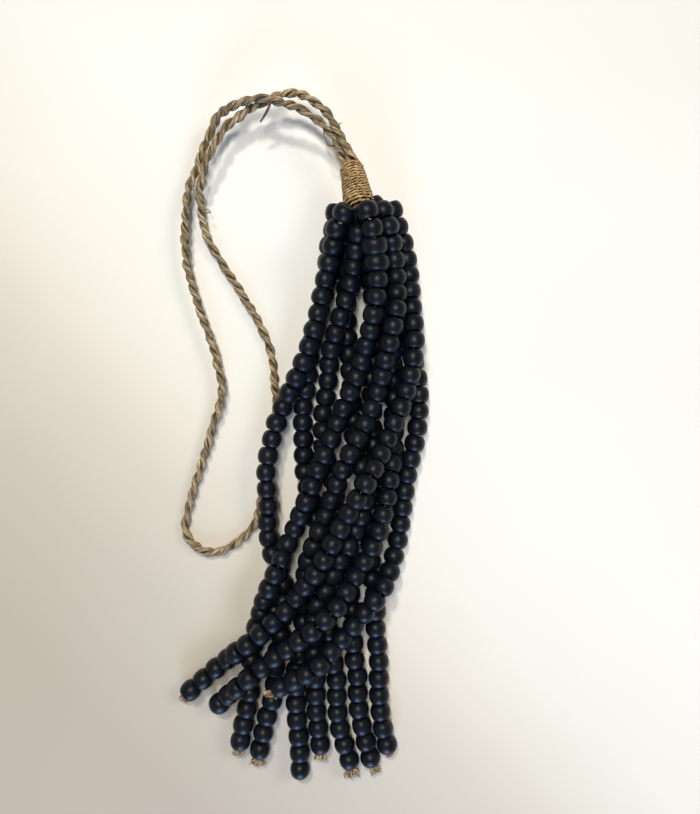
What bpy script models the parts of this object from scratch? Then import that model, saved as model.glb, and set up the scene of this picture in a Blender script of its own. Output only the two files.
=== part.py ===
"""Beaded tassel laid out on a flat surface.

Ten strings of turned wooden beads leave the core of a whipped head, fan out and lie on the surface in
long, loosely crossing curves. A closed loop of two-ply twisted cord leaves the top of the head, arches
over and lies beside the strings. +Y points from the strings to the head, +Z is up, and the origin is
under the middle of the footprint of the strings and the head.

The route tables are in millimetres; the objects are built in metres.
"""

import math

import bmesh
import bpy
import numpy as np

MM = 0.001
CURVE_SAMPLES = 20           # points between two rows of a route
WELD_DISTANCE = 0.00001      # m, corners of a cap closer than this are one

# Beads
BEAD_RADIUS = 6.0            # mm, half the width of a bead
BEAD_PITCH = 9.75            # mm, from one bead's centre to the next
BEAD_SIDES = 6
SHOULDER_RADIUS = 5.85       # mm, radius of the two shoulder rings of a bead
SHOULDER_OFFSET = 2.0        # mm, from a bead's centre to each shoulder ring
CORD_RADIUS = 1.6            # mm, the string between two beads
CORD_SIDES = 3
KNOT_RADIUS = 2.3            # mm, the knot that stops the last bead
KNOT_LENGTH = 5.0            # mm
KNOT_SWELL = 0.35            # share of its length at which the knot is thickest
KNOT_TIP = 0.6               # radius of the knot's frayed tip, as a share of its own
FLOOR_SNAP = 1.3             # mm, a corner of a bead lower than this rests on the surface

# Head
HEAD_BOTTOM = (5.1, 115.9, 23.0)   # mm, middle of the whipping's lower end
HEAD_TOP = (0.6, 139.1, 18.0)      # mm, middle of the whipping's upper end
WHIPPING_RADIUS_BOTTOM = 8.2       # mm, to the middle of the twine's ridges
WHIPPING_RADIUS_TOP = 6.0          # mm
WHIPPING_WALL = 1.6                # mm
WHIPPING_TURNS = 13.5
RIDGE_HEIGHT = 0.45                # mm, half the depth of the ridges between two turns
WHIPPING_SIDES = 16
RINGS_PER_TURN = 4
FIT_GAP = 0.3                      # mm, between two pieces that touch
HUB_RADIUS = 7.4                   # mm, the gathered strings just under the whipping
HUB_HEIGHT = 4.6                   # mm
HUB_TAPER = 0.8                    # radius of the hub's lower end, as a share of its own
CORE_SIDES = 12
ROOT_LOWEST = 0.35                 # share of the hub's height at which the first root starts
ROOT_STAGGER = 0.3                 # share of the hub's height from the first root's start to the last's
ROOT_RADIUS = 1.3                  # mm, a string between the hub and its first bead
ROOT_REACH = 9.6                   # mm, how far a root runs out before it turns to its first bead

# Hanging loop
LOOP_RADIUS = 2.45           # mm, half the width over both plies
LOOP_NECK = 1.3              # mm, half the thickness where the plies meet
LOOP_TWIST = 16.0            # mm of cord for a full turn of the two plies, which are laid left-handed
LOOP_STEP = 2.5              # mm between two sections of the loop
LOOP_SIDES = 6
LOOP_SPREAD = 3.0            # mm, from the head's axis to each of the loop's two ends
LOOP_LEAD = 4.9              # mm of straight cord at each of the two ends

# How the strings settle on the surface and on each other
BEAD_CLEARANCE = 12.55       # mm, least distance between the centres of two beads that touch
LOOP_CLEARANCE = 9.0         # mm, least distance from a bead's centre to the loop's centre line
HEAD_CLEARANCE = 15.4        # mm, least distance from a bead's centre to the head's axis
HEAD_SAMPLES = 8             # points along the head's axis that beads keep clear of
SETTLE_STEPS = 500
SINK = 0.10                  # mm that a bead sinks in one step
HOLD = 0.08                  # share of the sideways distance to its place that a bead makes good in one step
HEAD_HOLD = 0.5              # the same for the first bead of a string, which the head also holds up
SIDE_SHARE = 0.4             # how far two touching beads move apart sideways, against upwards

# Centre of the footprint in the tables' coordinates, moved to the origin.
FOOTPRINT_CENTRE = (-27.86, -41.61)

# Routes of the strings, from the head to the free end. Columns: x, y, z in mm.
STRINGS = {
    "left_top": [
        (-3, 108, 35), (-10.5, 88, 28), (-15, 71, 22), (-18.5, 52, 18), (-24, 33, 18), (-31, 15, 16),
        (-40, -1, 12), (-46, -20, 11), (-49, -38, 11), (-48, -58, 11), (-48, -76, 8), (-42, -96, 6),
        (-38, -114, 6), (-35, -131, 6), (-38, -148, 6), (-44, -166, 6), (-49, -183, 6),
        (-53.2, -201.7, 6),
    ],
    "crown_top": [
        (9, 108, 38), (14, 88, 32), (16, 69, 28), (14, 50, 24), (8, 31, 18), (3, 14, 18), (-5, -3, 16),
        (-12, -21, 17), (-20, -39, 16), (-26, -58, 17), (-35, -77, 10), (-42, -93, 17), (-49, -113, 9),
        (-56, -131, 6), (-59, -150, 6), (-59, -168, 6), (-63, -187, 6), (-64.8, -197.6, 6),
    ],
    "crown_right": [
        (17, 111, 26), (24, 91, 18), (26.5, 72, 17), (25, 50, 17), (21, 30, 18), (17, 10, 17),
        (10, -8, 17), (1, -28, 17), (-8, -45, 17), (-14, -64, 14), (-20, -80, 17), (-26, -101, 8),
        (-31, -119, 6), (-32, -147, 6), (-29, -166, 6), (-30, -188, 6), (-29.5, -213.9, 6),
    ],
    "right_over": [
        (24, 113, 14), (30.5, 93, 6), (33, 73, 6), (36, 52, 13), (37, 30, 18), (33, 10, 18),
        (26, -8, 19), (18, -26, 24), (9, -43, 27), (-1, -61, 27), (-11, -78, 24), (-21, -97, 20),
        (-32, -113, 18), (-46, -126, 15), (-59, -137, 18), (-74, -150, 9), (-88, -162, 6),
        (-94.7, -168, 6),
    ],
    "left_under": [
        (-6, 112, 13), (-10.5, 94, 8), (-14, 73, 6), (-18.5, 52, 6), (-24, 33, 6), (-24, 16, 6),
        (-28, -1, 6), (-27, -20, 6), (-27, -40, 6), (-22, -59, 6), (-17, -87, 6), (-15, -106, 6),
        (-13, -130, 6), (-10, -152, 6), (-9, -170, 6), (-6, -190, 6), (-0.3, -208.5, 6),
    ],
    "middle": [
        (4, 98, 29), (3, 83, 24), (-1, 65, 18), (-7, 46, 16), (-12, 27, 12), (-15, 9, 6), (-17, -18, 6),
        (-10, -45, 6), (-7, -64, 6), (-4, -82, 6), (-1, -101, 6), (1, -121, 6), (2, -141, 6),
        (2, -160, 6), (5, -179, 6), (12.4, -207.1, 6),
    ],
    "middle_under": [
        (1.5, 119, 6), (0, 106, 6), (-2, 86, 6), (-2, 68, 6), (-2, 50, 6), (-2, 33, 6), (1, 15, 6),
        (3, -2, 6), (5, -21, 8), (9, -39, 15), (9, -56, 17), (2, -74, 18), (-7, -91, 16), (-15, -108, 17),
        (-22, -129, 7), (-23, -149, 6), (-23, -169, 6), (-19, -191, 6), (-17.6, -199.7, 6),
    ],
    "centre_under": [
        (9, 104, 8), (9.5, 88, 6), (14, 72, 6), (16, 52, 6), (17, 36, 6), (12, 17, 6), (12, -10, 6),
        (13, -37, 6), (14, -58, 6), (12, -82, 6), (15, -112, 6), (15, -130, 6), (17, -150, 6),
        (17, -169, 6), (19, -189, 6), (20.7, -199.7, 6),
    ],
    "right_under": [
        (14.5, 119.8, 6), (18, 103, 6), (21, 88, 6), (25.5, 72, 6), (28, 54, 6), (33, 39, 6),
        (38, 27, 6), (41, 4, 6), (39, -18, 6), (34, -38, 6), (31, -59, 6), (29, -77, 6), (23, -97, 8),
        (14, -112, 17), (2, -126, 17), (-11, -140, 17), (-26, -153, 17), (-42.1, -162.2, 17),
    ],
    "right_middle": [
        (14, 101, 18), (13.5, 86, 18), (14.5, 70, 18), (17, 54, 17), (22, 39, 12), (25, 19, 6),
        (26, -1, 6), (24.5, -20, 6),
        (22, -40, 6), (19, -62, 7), (14, -79, 16), (5, -94, 17), (-7, -112, 17), (-21, -126, 18),
        (-38, -140, 18), (-51, -150, 17), (-66, -163, 9), (-78.7, -176.9, 6),
    ],
}

# Route of the loop's cord between its two ends at the head. Columns: x, y, z in mm.
LOOP = [
    (-6, 149, 16.5), (-12.7, 159.6, 17), (-28, 171, 19), (-41, 174.5, 20), (-53, 177, 19), (-65, 175, 16),
    (-76, 170, 13), (-82, 161, 10), (-87, 151, 8), (-90, 141, 8), (-95, 127, 8), (-97, 105, 8),
    (-96, 82, 7), (-88, 56, 7), (-79, 28, 6), (-76, 9, 6), (-81, -11, 5), (-87, -30, 4), (-95, -55, 3),
    (-98, -70, 2.5), (-96, -79, 2.5), (-87, -86, 2.5), (-74, -85, 2.5), (-61, -75, 2.5), (-54, -62, 2.5),
    (-52, -42, 2.5), (-48, -22, 2.5), (-44, -5, 2.5), (-45, 15, 2.5), (-49, 38, 2.5), (-61, 62, 2.5),
    (-76, 85, 2.5), (-85, 101, 3), (-88.5, 119, 6), (-87, 132, 11), (-82, 146, 14), (-71, 164, 13),
    (-51, 177, 13), (-30, 181, 16), (-14.8, 170, 20), (-9.6, 162.5, 21), (-4.6, 152.4, 21),
    (-0.9, 147, 19.5),
]


# ---------------------------------------------------------------- helpers

def clear_scene():
    """Start from an empty file."""
    for item in list(bpy.data.objects):
        bpy.data.objects.remove(item, do_unlink=True)


def new_collection(name):
    """A collection linked to the scene."""
    collection = bpy.data.collections.new(name)
    bpy.context.scene.collection.children.link(collection)
    return collection


def material(name, colour, roughness):
    """A Principled material."""
    finish = bpy.data.materials.new(name)
    finish.use_nodes = True
    shader = finish.node_tree.nodes["Principled BSDF"]
    shader.inputs["Base Color"].default_value = (*colour, 1.0)
    shader.inputs["Roughness"].default_value = roughness
    shader.inputs["Metallic"].default_value = 0.0
    finish.diffuse_color = (*colour, 1.0)
    return finish


def to_part(points):
    """Move points from the tables' millimetres to the part's frame in metres."""
    shift = np.array([*FOOTPRINT_CENTRE, 0.0])
    return (np.asarray(points, float) - shift) * MM


def mesh_object(name, mesh_data, collection, finish):
    """An object for a finished bmesh, in a collection."""
    bmesh.ops.recalc_face_normals(mesh_data, faces=mesh_data.faces)
    mesh = bpy.data.meshes.new(name)
    mesh_data.to_mesh(mesh)
    mesh_data.free()
    mesh.materials.append(finish)
    piece = bpy.data.objects.new(name, mesh)
    collection.objects.link(piece)
    return piece


def tube_mesh(name, curve_data, collection, finish):
    """A mesh object of a swept curve, with its end caps welded on."""
    curve = bpy.data.objects.new(name + "_curve", curve_data)
    collection.objects.link(curve)
    bpy.context.view_layer.update()
    mesh = bpy.data.meshes.new_from_object(curve.evaluated_get(bpy.context.evaluated_depsgraph_get()))
    bpy.data.objects.remove(curve, do_unlink=True)
    mesh_data = bmesh.new()
    mesh_data.from_mesh(mesh)
    bmesh.ops.remove_doubles(mesh_data, verts=mesh_data.verts, dist=WELD_DISTANCE)
    return mesh_object(name, mesh_data, collection, finish)


def unit(vector):
    """The vector at length one."""
    return vector / np.linalg.norm(vector)


def smooth_curve(rows):
    """Catmull-Rom curve through the rows, as a dense array of points."""
    knots = np.array(rows, float)
    before = 2 * knots[0] - knots[1]
    after = 2 * knots[-1] - knots[-2]
    knots = np.vstack([before, knots, after])
    t = np.linspace(0, 1, CURVE_SAMPLES, endpoint=False)[:, None]
    runs = []
    for a, b, c, d in zip(knots, knots[1:], knots[2:], knots[3:]):
        runs.append(b + 0.5 * t * (c - a + t * (2 * a - 5 * b + 4 * c - d + t * (3 * (b - c) + d - a))))
    runs.append(knots[-2:-1])
    return np.vstack(runs)


def walk(curve, spacing):
    """Points along a dense curve from end to end, evenly spaced as near to a spacing as fits."""
    run = np.concatenate([[0], np.cumsum(np.linalg.norm(np.diff(curve, axis=0), axis=1))])
    stops = np.linspace(0, run[-1], round(run[-1] / spacing) + 1)
    return np.column_stack([np.interp(stops, run, curve[:, axis]) for axis in range(3)])


def head_axis():
    """The whipping's lower end, its direction to the upper end, and its length, in mm."""
    bottom = np.array(HEAD_BOTTOM)
    along = np.array(HEAD_TOP) - bottom
    return bottom, unit(along), np.linalg.norm(along)


# ---------------------------------------------------------------- routes

def loop_curve():
    """Centre line of the hanging loop, out of the head's top, round, and back into it."""
    _, up, _ = head_axis()
    top = np.array(HEAD_TOP) + up * FIT_GAP
    side = unit(np.cross(up, (0, 0, 1)))
    lead = up * LOOP_LEAD
    start = [top - side * LOOP_SPREAD, top - side * LOOP_SPREAD + lead]
    end = [top + side * LOOP_SPREAD + lead, top + side * LOOP_SPREAD]
    return smooth_curve([*start, *LOOP, *end])


def push_apart(points, others, clearance, skip=None):
    """Moves that bring points to a clearance from others, more upwards than sideways."""
    apart = points[:, None, :] - others[None, :, :]
    distance = np.maximum(np.linalg.norm(apart, axis=2), 1e-6)
    short = np.maximum(clearance - distance, 0)
    if skip is not None:
        short[skip] = 0
    return (apart / distance[:, :, None] * short[:, :, None]).sum(axis=1) * (SIDE_SHARE, SIDE_SHARE, 1)


def lift(points, under, clearance):
    """Heights that points need to lie clear on top of what is under them."""
    apart = points[:, None, :2] - under[None, :, :2]
    rise = np.sqrt(np.maximum(clearance ** 2 - (apart ** 2).sum(axis=2), 0))
    covered = rise > 0
    return np.where(covered, under[None, :, 2] + rise, 0).max(axis=1)


def settle(strings, loop):
    """Let the beads sink until they rest on the surface, on the loop and on each other."""
    beads = np.vstack(strings)
    home = beads.copy()
    string_of = np.repeat(np.arange(len(strings)), [len(string) for string in strings])
    count = np.arange(len(beads))
    same_string = string_of[:, None] == string_of[None, :]
    linked = same_string & (abs(count[:, None] - count[None, :]) <= 1)
    links = np.flatnonzero(string_of[:-1] == string_of[1:])
    firsts = np.flatnonzero(np.diff(string_of, prepend=-1))
    pitch = np.linalg.norm(np.diff(beads, axis=0), axis=1)[:, None]
    bottom, up, length = head_axis()
    head = bottom + up * np.linspace(0, length, HEAD_SAMPLES)[:, None]
    for step in range(SETTLE_STEPS):
        fade = 1 - step / SETTLE_STEPS
        beads[:, 2] -= SINK * fade
        beads[:, :2] += HOLD * fade * (home[:, :2] - beads[:, :2])
        beads[firsts] += HEAD_HOLD * fade * (home[firsts] - beads[firsts])
        for parity in (0, 1):
            first = links[links % 2 == parity]
            span = beads[first + 1] - beads[first]
            reach = np.linalg.norm(span, axis=1)[:, None]
            pull = span * (reach - pitch[first]) / reach / 2
            beads[first] += pull
            beads[first + 1] -= pull
        beads += 0.5 * push_apart(beads, beads, BEAD_CLEARANCE, linked)
        beads += push_apart(beads, head, HEAD_CLEARANCE) / 2
        beads[:, 2] = np.maximum(beads[:, 2], np.maximum(lift(beads, loop, LOOP_CLEARANCE), BEAD_RADIUS))
    return [beads[string_of == index] for index in range(len(strings))]


def bead_centres():
    """The settled centres of the beads, a list of points for each string."""
    starts = [walk(smooth_curve(rows), BEAD_PITCH) for rows in STRINGS.values()]
    loop = walk(loop_curve(), LOOP_STEP)
    return settle(starts, loop)


# ---------------------------------------------------------------- bead strings

def ring(mesh_data, centre, along, radius, sides):
    """A ring of corners round the string, with a flat side downwards."""
    side = unit(np.cross(along, (0, 0, 1)))
    over = np.cross(side, along)
    corners = []
    for index in range(sides):
        angle = 2 * math.pi * (index + 0.5) / sides - math.pi / 2
        place = centre + radius * (math.cos(angle) * side + math.sin(angle) * over)
        if sides == BEAD_SIDES and place[2] < FLOOR_SNAP:
            place[2] = 0.0
        corners.append(mesh_data.verts.new(to_part(place)))
    return corners


def skin(mesh_data, first, second):
    """Faces between two rings of equal size, or between a bead's ring and a cord's ring."""
    if len(first) == len(second):
        for index, corner in enumerate(first):
            after = (index + 1) % len(first)
            mesh_data.faces.new((corner, first[after], second[after], second[index]))
        return
    wide, narrow = (first, second) if len(first) > len(second) else (second, first)
    for index, corner in enumerate(narrow):
        left = wide[2 * index]
        right = wide[2 * index + 1]
        beyond = wide[(2 * index + 2) % len(wide)]
        after = narrow[(index + 1) % len(narrow)]
        mesh_data.faces.new((corner, left, right))
        mesh_data.faces.new((corner, right, beyond, after))


def string_sections(beads):
    """Sections along a string of beads. Columns: centre, direction, radius, sides."""
    along = np.gradient(beads, axis=0)
    along = along / np.linalg.norm(along, axis=1)[:, None]
    first_cord = beads[0] - along[0] * BEAD_PITCH / 2
    sections = [(first_cord, along[0], CORD_RADIUS, CORD_SIDES)]
    for index, centre in enumerate(beads):
        for offset in (-SHOULDER_OFFSET, SHOULDER_OFFSET):
            sections.append((centre + along[index] * offset, along[index], SHOULDER_RADIUS, BEAD_SIDES))
        if index + 1 < len(beads):
            middle = (centre + beads[index + 1]) / 2
            sections.append((middle, unit(beads[index + 1] - centre), CORD_RADIUS, CORD_SIDES))
    return sections


def knot_sections(last_bead, along):
    """The knot against the last bead and its short frayed end."""
    away = np.array([along[0], along[1], min(along[2], 0.0)])
    start = last_bead + along * BEAD_PITCH / 2
    return [
        (start, along, CORD_RADIUS, CORD_SIDES),
        (start + away * KNOT_LENGTH * KNOT_SWELL, along, KNOT_RADIUS, CORD_SIDES),
        (start + away * KNOT_LENGTH, along, KNOT_RADIUS * KNOT_TIP, CORD_SIDES),
    ]


def bead_string(name, beads, collection, finish):
    """One string as a closed solid that swells at each bead."""
    mesh_data = bmesh.new()
    sections = string_sections(beads)
    sections += knot_sections(beads[-1], sections[-1][1])
    rings = [ring(mesh_data, *section) for section in sections]
    for first, second in zip(rings, rings[1:]):
        skin(mesh_data, first, second)
    mesh_data.faces.new(rings[0])
    mesh_data.faces.new(rings[-1])
    return mesh_object(name, mesh_data, collection, finish)


def root_cord(name, first_bead, level, collection, finish):
    """The stretch of string from the hub to the first bead; level is its place in the hub, 0 to 1."""
    bottom, up, _ = head_axis()
    hub = bottom - up * (FIT_GAP + HUB_HEIGHT * (ROOT_LOWEST + ROOT_STAGGER * level))
    outward = first_bead - hub
    outward = unit(outward - up * np.dot(outward, up))
    route = [hub, hub + outward * ROOT_REACH, first_bead]
    data = bpy.data.curves.new(name, "CURVE")
    data.dimensions = "3D"
    data.bevel_depth = ROOT_RADIUS * MM
    data.bevel_resolution = 0
    data.use_fill_caps = True
    spline = data.splines.new("POLY")
    spline.points.add(len(route) - 1)
    for point, place in zip(spline.points, to_part(route)):
        point.co = (*place, 1.0)
    return tube_mesh(name, data, collection, finish)


def head_ring(mesh_data, along, radii):
    """A ring of corners round the head's axis, one for each radius, at a distance along the axis."""
    bottom, up, _ = head_axis()
    side = unit(np.cross(up, (0, 0, 1)))
    over = np.cross(side, up)
    corners = []
    for index, radius in enumerate(radii):
        angle = 2 * math.pi * index / len(radii)
        place = bottom + up * along + radius * (math.cos(angle) * side + math.sin(angle) * over)
        corners.append(mesh_data.verts.new(to_part(place)))
    return corners


def head_core(name, collection, finish):
    """The gathered strings inside the whipping and the wider hub under it."""
    _, _, length = head_axis()
    inner_bottom = WHIPPING_RADIUS_BOTTOM - WHIPPING_WALL - FIT_GAP
    inner_top = WHIPPING_RADIUS_TOP - WHIPPING_WALL - FIT_GAP
    # Columns: distance along the axis from the whipping's lower end, radius, in mm.
    profile = [
        (-FIT_GAP - HUB_HEIGHT, HUB_RADIUS * HUB_TAPER),
        (-FIT_GAP, HUB_RADIUS),
        (-FIT_GAP / 2, inner_bottom),
        (length, inner_top),
    ]
    mesh_data = bmesh.new()
    rings = [head_ring(mesh_data, along, [radius] * CORE_SIDES) for along, radius in profile]
    for first, second in zip(rings, rings[1:]):
        skin(mesh_data, first, second)
    mesh_data.faces.new(rings[0])
    mesh_data.faces.new(rings[-1])
    return mesh_object(name, mesh_data, collection, finish)


def build_strands(collection, cutters, finish):
    """All the strings, fused by their roots into the core of the head."""
    core = head_core("bead_strands", collection, finish)
    for index, (name, beads) in enumerate(zip(STRINGS, bead_centres())):
        bead_string("string_" + name, beads, cutters, finish)
        root_cord("root_" + name, beads[0], index / len(STRINGS), cutters, finish)
    for piece in cutters.objects:
        piece.hide_render = True
        piece.display_type = "WIRE"
        fuse = core.modifiers.new("fuse_" + piece.name, "BOOLEAN")
        fuse.operation = "UNION"
        fuse.solver = "EXACT"
        fuse.object = piece
    return core


# ---------------------------------------------------------------- head and loop

def build_whipping(collection, finish):
    """The twine wound round the head: a sleeve with a helical ridge for each turn."""
    _, _, length = head_axis()
    mesh_data = bmesh.new()
    count = int(WHIPPING_TURNS * RINGS_PER_TURN)
    rings = []
    for step in range(count + 1):
        share = step / count
        middle = WHIPPING_RADIUS_BOTTOM + share * (WHIPPING_RADIUS_TOP - WHIPPING_RADIUS_BOTTOM)
        radii = []
        for index in range(WHIPPING_SIDES):
            turn = WHIPPING_TURNS * share + index / WHIPPING_SIDES
            radii.append(middle + RIDGE_HEIGHT * math.cos(2 * math.pi * turn))
        rings.append(head_ring(mesh_data, share * length, radii))
    for along, outer in ((length, WHIPPING_RADIUS_TOP), (0.0, WHIPPING_RADIUS_BOTTOM)):
        rings.append(head_ring(mesh_data, along, [outer - WHIPPING_WALL] * WHIPPING_SIDES))
    for first, second in zip(rings, [*rings[1:], rings[0]]):
        skin(mesh_data, first, second)
    return mesh_object("head_binding", mesh_data, collection, finish)


def build_loop(collection, cutters, finish):
    """The hanging loop: a two-lobed section twisted along its route."""
    profile = bpy.data.curves.new("loop_section", "CURVE")
    profile.dimensions = "2D"
    outline = profile.splines.new("POLY")
    outline.points.add(LOOP_SIDES - 1)
    outline.use_cyclic_u = True
    for index, point in enumerate(outline.points):
        angle = 2 * math.pi * index / LOOP_SIDES
        radius = LOOP_NECK + (LOOP_RADIUS - LOOP_NECK) * math.cos(angle) ** 2
        point.co = (radius * math.cos(angle) * MM, radius * math.sin(angle) * MM, 0, 1)
    section = bpy.data.objects.new("loop_section", profile)
    section.hide_render = True
    section.display_type = "WIRE"
    cutters.objects.link(section)

    data = bpy.data.curves.new("hanging_loop", "CURVE")
    data.dimensions = "3D"
    data.twist_mode = "Z_UP"
    data.bevel_mode = "OBJECT"
    data.bevel_object = section
    data.use_fill_caps = True
    route = walk(loop_curve(), LOOP_STEP)
    spline = data.splines.new("POLY")
    spline.points.add(len(route) - 1)
    for index, place in enumerate(to_part(route)):
        spline.points[index].co = (*place, 1.0)
        spline.points[index].tilt = -2 * math.pi * index * LOOP_STEP / LOOP_TWIST
    return tube_mesh("hanging_loop", data, collection, finish)


def build_tassel():
    """All the pieces of the tassel."""
    clear_scene()
    tassel = new_collection("beaded_tassel")
    cutters = new_collection("joined_pieces")
    black_wood = material("black_wood", (0.016, 0.017, 0.020), 0.5)
    twine = material("twine", (0.42, 0.29, 0.15), 0.9)
    grass_cord = material("grass_cord", (0.27, 0.21, 0.13), 0.9)
    build_strands(tassel, cutters, black_wood)
    build_whipping(tassel, twine)
    build_loop(tassel, cutters, grass_cord)


build_tassel()
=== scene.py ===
"""Looks of the beaded tassel: turned black beads, twine whipping and a two-ply cord of dried grass.

The routes are in millimetres in the tables' own coordinates, as in the part's source, and the scene
is in metres. Lengths are in mm where nothing else is said.
"""

import math

import bpy
import numpy as np
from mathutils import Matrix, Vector


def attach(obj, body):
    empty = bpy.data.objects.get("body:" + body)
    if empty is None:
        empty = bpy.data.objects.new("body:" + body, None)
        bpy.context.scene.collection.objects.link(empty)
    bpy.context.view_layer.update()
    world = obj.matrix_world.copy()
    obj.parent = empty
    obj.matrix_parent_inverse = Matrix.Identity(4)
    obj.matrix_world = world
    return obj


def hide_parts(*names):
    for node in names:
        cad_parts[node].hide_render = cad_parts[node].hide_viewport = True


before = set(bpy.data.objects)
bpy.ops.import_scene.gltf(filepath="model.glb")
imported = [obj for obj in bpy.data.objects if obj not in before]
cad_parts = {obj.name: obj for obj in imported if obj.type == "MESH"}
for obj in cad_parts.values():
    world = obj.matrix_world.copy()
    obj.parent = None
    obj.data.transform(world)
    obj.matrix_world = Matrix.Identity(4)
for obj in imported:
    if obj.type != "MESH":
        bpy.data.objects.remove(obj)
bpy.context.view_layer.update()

MM = 0.001
CURVE_SAMPLES = 20           # points between two rows of a route
TOWARDS_Z = (0.0, 0.0, 1.0)
TINY = 1e-6                  # least length that is divided by

# Camera: straight above the surface
CAMERA_HEIGHT = 0.43         # m
VIEW_WIDTH = 0.42            # m of the surface across the picture

# Floor, with painted shade: its colour darkens along x + y towards the near left, where the light falls
# off, and is palest at the far right.
FLOOR_SIZE = 60.0            # m
FLOOR_ACROSS = (1.0, 1.0, 0.0)
FLOOR_SPAN = (-0.27, 0.13)   # m, where the shades start and end
# Columns: share of the span, colour.
FLOOR_PAINTED_FALLOFF = [
    (0.0, (0.345, 0.308, 0.262)), (0.27, (0.392, 0.362, 0.315)), (0.47, (0.463, 0.431, 0.378)),
    (0.61, (0.545, 0.519, 0.466)), (0.73, (0.590, 0.576, 0.529)), (1.0, (0.630, 0.625, 0.600)),
]
FLOOR_CLOUDS = [(0.3, (0.96, 0.96, 0.95)), (0.7, (1.0, 1.0, 1.0))]

# Studio light from all round, dimmer overhead than at the horizon
WORLD_COLOUR = (1.0, 0.97, 0.92)
HORIZON_LIGHT = 0.26
ZENITH_LIGHT = 0.05

# Lights that the beads reflect. Columns: place, width and length in m, power in W, colour.
AREA_LIGHTS = {
    "key": ((-0.09, 0.31, 1.22), 0.15, 0.36, 8.3, (1.0, 0.97, 0.90)),
    "window": ((0.02, -1.25, 0.52), 0.50, 0.40, 13.0, (0.42, 0.62, 1.0)),
}

# Lights that the beads don't reflect. Columns: where they come from, strength in W/m2, spread in
# degrees, colour.
SUN_LIGHTS = {
    "low": ((-0.24, 0.86, 1.15), 2.2, 7.0, (1.0, 0.95, 0.86)),
    "side": ((0.85, 0.40, 0.75), 1.3, 25.0, (1.0, 0.96, 0.88)),
    "overhead": (TOWARDS_Z, 0.45, 10.0, (1.0, 0.96, 0.90)),
}

# Paint of the beads
PAINT_BLACKS = [(0.3, (0.0010, 0.0018, 0.0040)), (0.7, (0.0027, 0.0041, 0.0074))]
PAINT_WORN = (0.012, 0.012, 0.013)
PAINT_DUST = (0.30, 0.29, 0.27)

# Fibres. Columns: dark, middle and light colour, how fast their streaks change along a strand.
FIBRES = {
    "grass_finish": ((0.060, 0.043, 0.022), (0.225, 0.170, 0.098), (0.51, 0.41, 0.26), 0.10),
    "twine_finish": ((0.104, 0.059, 0.0226), (0.373, 0.243, 0.111), (0.69, 0.518, 0.298), 0.25),
    "string_finish": ((0.09, 0.055, 0.024), (0.36, 0.250, 0.130), (0.74, 0.58, 0.36), 0.40),
}
FIBRE_STOPS = (0.35, 0.5, 0.64)
FIBRE_PATCHES = [(0.3, (0.45, 0.41, 0.37)), (0.7, (1.3, 1.25, 1.17))]

# Beads
BEAD_RADIUS = 6.0
BEAD_PITCH = 9.75
BEAD_HALF_LENGTH = 4.75
BORE_RADIUS = 1.15
BORE_CHAMFER = 0.45
BEAD_SIDES = 28
BEAD_RINGS = 11              # on the round side
BEAD_REACH = 5.95            # half length at which the round side would close
BEAD_RIM = 0.22              # length between the round side and the end face
FACE_INSET = 0.45            # from the round side to the end face's edge
FACE_CROWN = 0.02            # how far the end face bulges
ROUND_POWER = 1.93           # exponent of the round side's outline
SQUARE_POWER = 0.32          # what squareness adds to it
BEAD_ASIDE = (0.13, 0.21, 0.97)    # a steep direction, which a bead's turn is measured from

# How much the beads differ
BEAD_SEED = 3
BEAD_LEAN = 0.035            # radians
BEAD_OVAL = 0.008            # share of the radius
BEAD_SPREAD = 0.018          # share of the width
SQUARENESS = (0.4, 1.5)
BEAD_SHADE = 0.30
BEAD_TINT = (0.97, 1.06)
GRAIN_SHIFT = 400            # how far a bead's grain is moved, so that no two are alike

# Head
HEAD_BOTTOM = (5.1, 115.9, 23.0)
HEAD_TOP = (0.6, 139.1, 18.0)
WHIPPING_RADIUS_BOTTOM = 8.2
WHIPPING_RADIUS_TOP = 6.0
WHIPPING_TURNS = 13.5
FIT_GAP = 0.3                # between the head and the loop's ends

# Hanging loop
LOOP_TWIST = 16.0            # length of one turn of the plies
LOOP_STEP = 2.5              # between the points that beads rest on
LOOP_SPREAD = 3.0            # from the head's middle line to each end
LOOP_LEAD = 4.9              # how far each end goes straight on out of the head

# How the strings settle
BEAD_CLEARANCE = 12.55       # between the middles of two beads
LOOP_CLEARANCE = 9.0         # between a bead's middle and the cord's
HEAD_CLEARANCE = 15.4        # between a bead's middle and the head's
HEAD_SAMPLES = 8
SETTLE_STEPS = 500
SINK = 0.10                  # how far a bead sinks at the first step
HOLD = 0.08                  # share of the way back over its own place, at the first step
HEAD_HOLD = 0.5              # the same for a string's first bead, in height too
SIDE_SHARE = 0.4             # share that is kept of a push sideways

# The part's origin in the tables' coordinates
FOOTPRINT_CENTRE = (-27.86, -41.61)

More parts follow.
